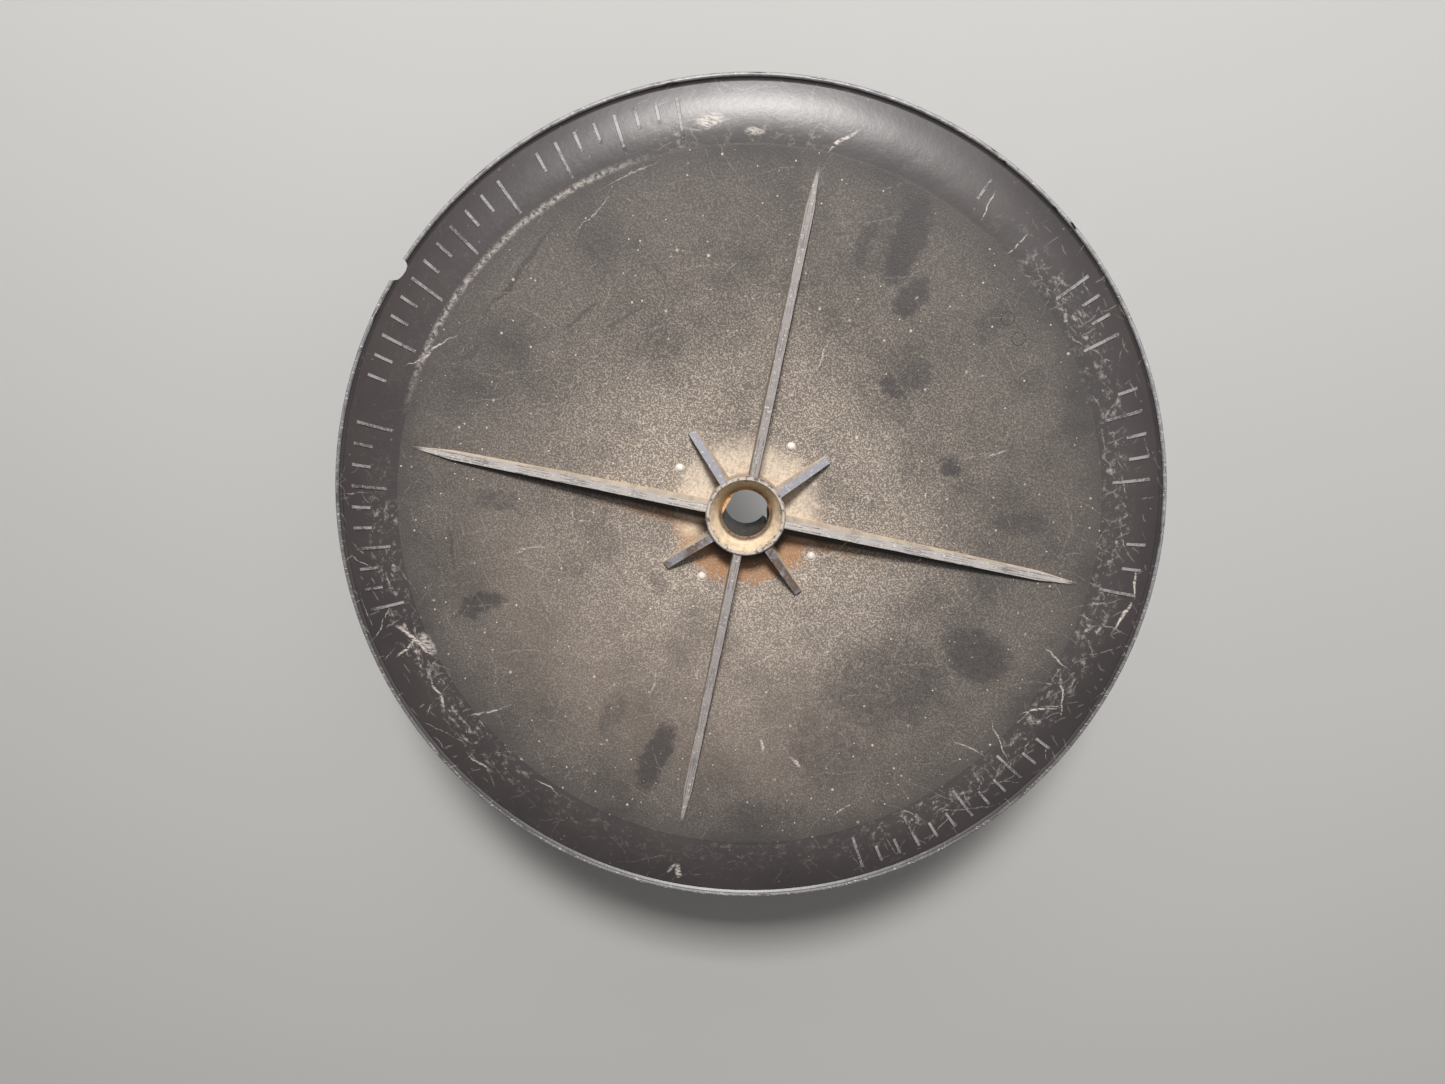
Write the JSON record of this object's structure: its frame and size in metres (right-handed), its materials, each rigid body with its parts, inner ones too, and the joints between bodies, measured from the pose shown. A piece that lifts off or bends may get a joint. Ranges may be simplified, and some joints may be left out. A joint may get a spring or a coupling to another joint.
{
  "type": "centrifugal blower wheel",
  "caption": "Single-inlet forward-curved blower wheel with a dished, ribbed back plate, a D-bore hub with screw clamp, and an open inlet ring.",
  "frame": {"origin": "centre of the inlet face, on the plane that the inlet ring rests on", "axes": "+Z along the shaft axis towards the closed back plate; the four long ribs lie along X and Y"},
  "size_m": [0.2224, 0.2224, 0.0729],
  "materials": {
    "plate_plastic": "black moulded plastic, fine orange-peel, scuffed and dusty",
    "hub_plastic": "black moulded plastic with tan dust on the mouth",
    "ring_plastic": "black moulded plastic, satin",
    "blade_plastic": "black moulded plastic, light dust on the leading edges",
    "clamp_steel": "spring-steel strip, rolled",
    "screw_steel": "zinc plated, light yellow passivation"
  },
  "bodies": {
    "wheel": {"back_plate": "plate_plastic", "hub": "hub_plastic", "inlet_ring": "ring_plastic", "clamp_band": "clamp_steel", "blade_01": "blade_plastic", "blade_02": "blade_plastic", "blade_03": "blade_plastic", "blade_04": "blade_plastic", "blade_05": "blade_plastic", "blade_06": "blade_plastic", "blade_07": "blade_plastic", "blade_08": "blade_plastic", "blade_09": "blade_plastic", "blade_10": "blade_plastic", "blade_11": "blade_plastic", "blade_12": "blade_plastic", "blade_13": "blade_plastic", "blade_14": "blade_plastic", "blade_15": "blade_plastic", "blade_16": "blade_plastic", "blade_17": "blade_plastic", "blade_18": "blade_plastic", "blade_19": "blade_plastic", "blade_20": "blade_plastic", "blade_21": "blade_plastic", "blade_22": "blade_plastic", "blade_23": "blade_plastic", "blade_24": "blade_plastic", "blade_25": "blade_plastic", "blade_26": "blade_plastic", "blade_27": "blade_plastic", "blade_28": "blade_plastic", "blade_29": "blade_plastic", "blade_30": "blade_plastic", "blade_31": "blade_plastic", "blade_32": "blade_plastic", "blade_33": "blade_plastic", "blade_34": "blade_plastic", "blade_35": "blade_plastic", "blade_36": "blade_plastic", "blade_37": "blade_plastic", "blade_38": "blade_plastic", "blade_39": "blade_plastic", "blade_40": "blade_plastic", "blade_41": "blade_plastic", "blade_42": "blade_plastic", "blade_43": "blade_plastic", "blade_44": "blade_plastic"},
    "clamp_screw": {"clamp_screw": "screw_steel"},
    "clamp_nut": {"clamp_nut": "screw_steel"}
  },
  "joints": [
    {"name": "clamp_screw_turn", "type": "hinge", "parent": "wheel", "child": "clamp_screw", "pos_m": [0.01512, -0.00491, 0.0477], "axis": [0.309, 0.9511, 0], "range_deg": [0, 720]},
    {"name": "clamp_nut_travel", "type": "slide", "parent": "wheel", "child": "clamp_nut", "axis": [0.309, 0.9511, 0], "range_m": [-0.0014, 0]}
  ],
  "couplings": [
    {"joint": "clamp_screw_turn", "follows": "clamp_nut_travel", "rad_per_m": -8976}
  ]
}
